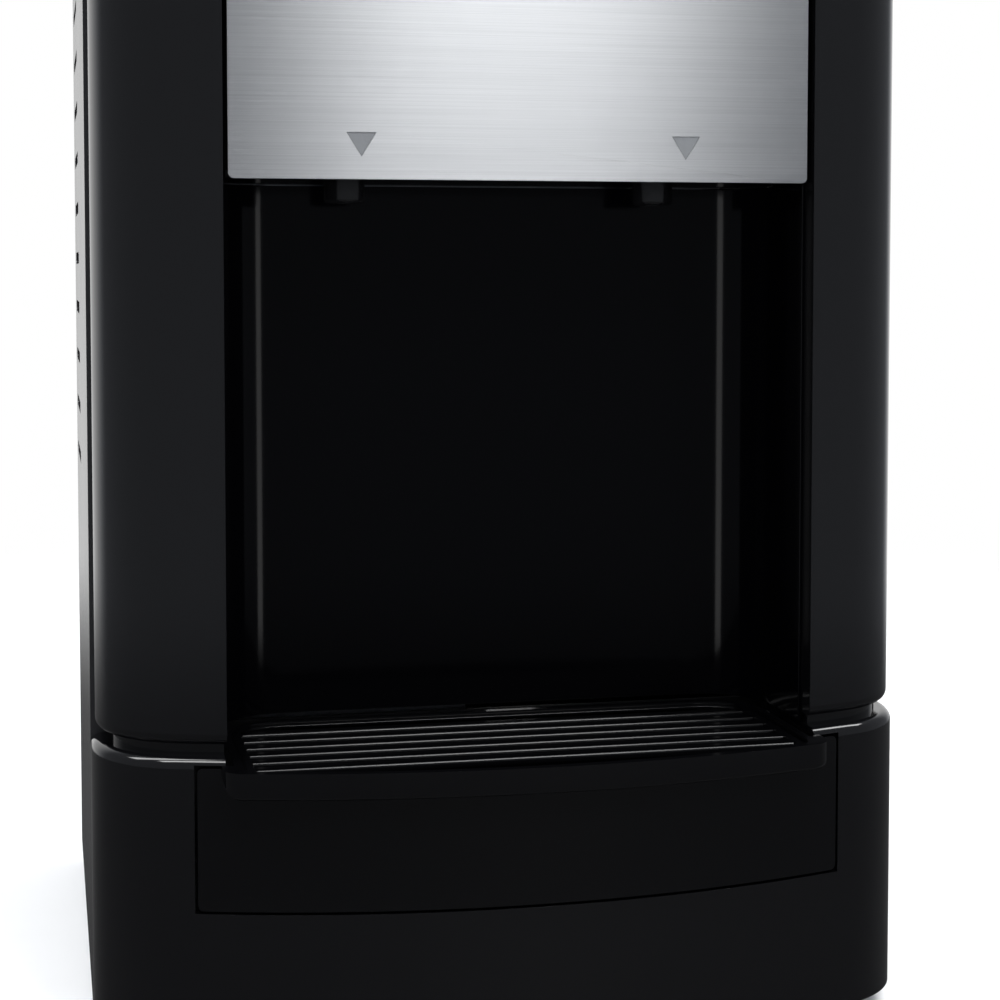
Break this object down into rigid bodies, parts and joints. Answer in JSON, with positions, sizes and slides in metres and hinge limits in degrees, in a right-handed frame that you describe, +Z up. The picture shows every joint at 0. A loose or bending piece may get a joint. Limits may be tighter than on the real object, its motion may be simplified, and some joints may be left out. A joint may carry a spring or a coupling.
{
  "type": "water dispenser",
  "caption": "Countertop hot and cold water dispenser: bowed gloss black case, steel fascia, open alcove, slide-out drip tray, push buttons and a bottle seat on top.",
  "frame": {"origin": "under the centre of the whole object, on the surface it stands on", "axes": "+Z up, the front faces -Y, +X to the right seen from the front"},
  "size_m": [0.304, 0.323, 0.483],
  "materials": {
    "gloss_black": "polished moulded plastic",
    "alcove_black": "polished moulded plastic",
    "tray_black": "polished moulded plastic",
    "case_paint": "satin powder coat",
    "base_plastic": "moulded plastic",
    "stainless": "brushed horizontally",
    "marker_grey": "filled mark",
    "foot_rubber": "moulded rubber",
    "hot_red": "moulded plastic",
    "cold_blue": "moulded plastic",
    "lock_red": "moulded plastic",
    "lens_clear": "moulded lens",
    "circuit_green": "circuit board",
    "tap_white": "moulded plastic",
    "spout_black": "moulded plastic",
    "tank_steel": "drawn sheet",
    "spring_steel": "wire",
    "seat_white": "food grade plastic",
    "gasket_silicone": "silicone",
    "foam_white": "expanded foam",
    "jacket_grey": "wrapped insulation",
    "block_aluminium": "milled",
    "cooler_ceramic": "ceramic plates",
    "fan_black": "moulded plastic",
    "zinc_steel": "zinc plated",
    "hose_silicone": "silicone",
    "inlet_black": "moulded plastic",
    "contact_brass": "plated",
    "supply_metal": "perforated case"
  },
  "bodies": {
    "cabinet": {"base_pan": "base_plastic", "rubber_feet": "foot_rubber", "lower_front_housing": "gloss_black", "tray_bay": "base_plastic", "left_column": "gloss_black", "right_column": "gloss_black", "top_cover": "gloss_black", "alcove_liner": "alcove_black", "head_shroud": "alcove_black", "stainless_fascia": "stainless", "spout_markers": "marker_grey", "control_fascia": "gloss_black", "indicator_lenses": "lens_clear", "control_board": "circuit_green", "hot_tap_body": "tap_white", "cold_tap_body": "tap_white", "hot_tap_spring": "spring_steel", "cold_tap_spring": "spring_steel", "hot_spout": "spout_black", "cold_spout": "spout_black", "seat_gasket": "gasket_silicone", "cold_tank": "tank_steel", "tank_separator": "seat_white", "cold_insulation": "foam_white", "cold_block": "block_aluminium", "peltier_module": "cooler_ceramic", "heat_sink": "block_aluminium", "fan_frame": "fan_black", "hot_tank": "tank_steel", "heater_band": "tank_steel", "hot_insulation": "jacket_grey", "hot_thermostats": "block_aluminium", "hot_tank_bracket": "zinc_steel", "tank_deck": "zinc_steel", "hot_hose": "hose_silicone", "cold_hose": "hose_silicone", "feed_hose": "hose_silicone", "drain_hose": "hose_silicone", "drain_fitting": "inlet_black", "left_side_panel": "case_paint", "right_side_panel": "case_paint", "rear_panel": "case_paint", "case_screws": "zinc_steel", "power_inlet": "inlet_black", "inlet_pins": "contact_brass", "switch_bezels": "inlet_black", "power_supply": "supply_metal"},
    "tray": {"drip_tray": "tray_black"},
    "grille": {"drip_grille": "tray_black"},
    "hot_button": {"hot_button": "hot_red"},
    "cold_button": {"cold_button": "cold_blue"},
    "hot_stem": {"hot_tap_stem": "tap_white"},
    "cold_stem": {"cold_tap_stem": "tap_white"},
    "child_lock": {"child_lock": "lock_red"},
    "hot_rocker": {"hot_switch": "hot_red"},
    "cold_rocker": {"cold_switch": "cold_blue"},
    "fan": {"fan_rotor": "fan_black"},
    "bottle_seat": {"bottle_seat": "seat_white", "bottle_probe": "seat_white"},
    "drain_cap": {"drain_cap": "inlet_black"}
  },
  "joints": [
    {"name": "tray_slide", "type": "slide", "parent": "cabinet", "child": "tray", "axis": [0, -1, 0], "range_m": [0, 0.1]},
    {"name": "grille_lift", "type": "slide", "parent": "tray", "child": "grille", "axis": [0, 0, 1], "range_m": [0, 0.03]},
    {"name": "hot_press", "type": "slide", "parent": "cabinet", "child": "hot_button", "axis": [0, 1, 0], "range_m": [0, 0.005], "stiffness_N_per_m": 700},
    {"name": "cold_press", "type": "slide", "parent": "cabinet", "child": "cold_button", "axis": [0, 1, 0], "range_m": [0, 0.005], "stiffness_N_per_m": 700},
    {"name": "hot_stem_slide", "type": "slide", "parent": "cabinet", "child": "hot_stem", "axis": [0, 1, 0], "range_m": [0, 0.005], "deforming": ["hot_tap_spring"]},
    {"name": "cold_stem_slide", "type": "slide", "parent": "cabinet", "child": "cold_stem", "axis": [0, 1, 0], "range_m": [0, 0.005], "deforming": ["cold_tap_spring"]},
    {"name": "child_lock_slide", "type": "slide", "parent": "cabinet", "child": "child_lock", "axis": [1, 0, 0], "range_m": [0, 0.008]},
    {"name": "hot_switch_rock", "type": "hinge", "parent": "cabinet", "child": "hot_rocker", "pos_m": [0.066, 0.1485, 0.084], "axis": [1, 0, 0], "range_deg": [-20, 0]},
    {"name": "cold_switch_rock", "type": "hinge", "parent": "cabinet", "child": "cold_rocker", "pos_m": [0.106, 0.1485, 0.084], "axis": [1, 0, 0], "range_deg": [-20, 0]},
    {"name": "fan_spin", "type": "hinge", "parent": "cabinet", "child": "fan", "pos_m": [0, 0.1415, 0.37], "axis": [0, 1, 0], "continuous": true},
    {"name": "bottle_seat_lift", "type": "slide", "parent": "cabinet", "child": "bottle_seat", "axis": [0, 0, 1], "range_m": [0, 0.08]},
    {"name": "drain_cap_pull", "type": "slide", "parent": "cabinet", "child": "drain_cap", "axis": [0, 1, 0], "range_m": [0, 0.015]}
  ],
  "couplings": [
    {"joint": "hot_stem_slide", "follows": "hot_press", "ratio": 1},
    {"joint": "cold_stem_slide", "follows": "cold_press", "ratio": 1}
  ]
}
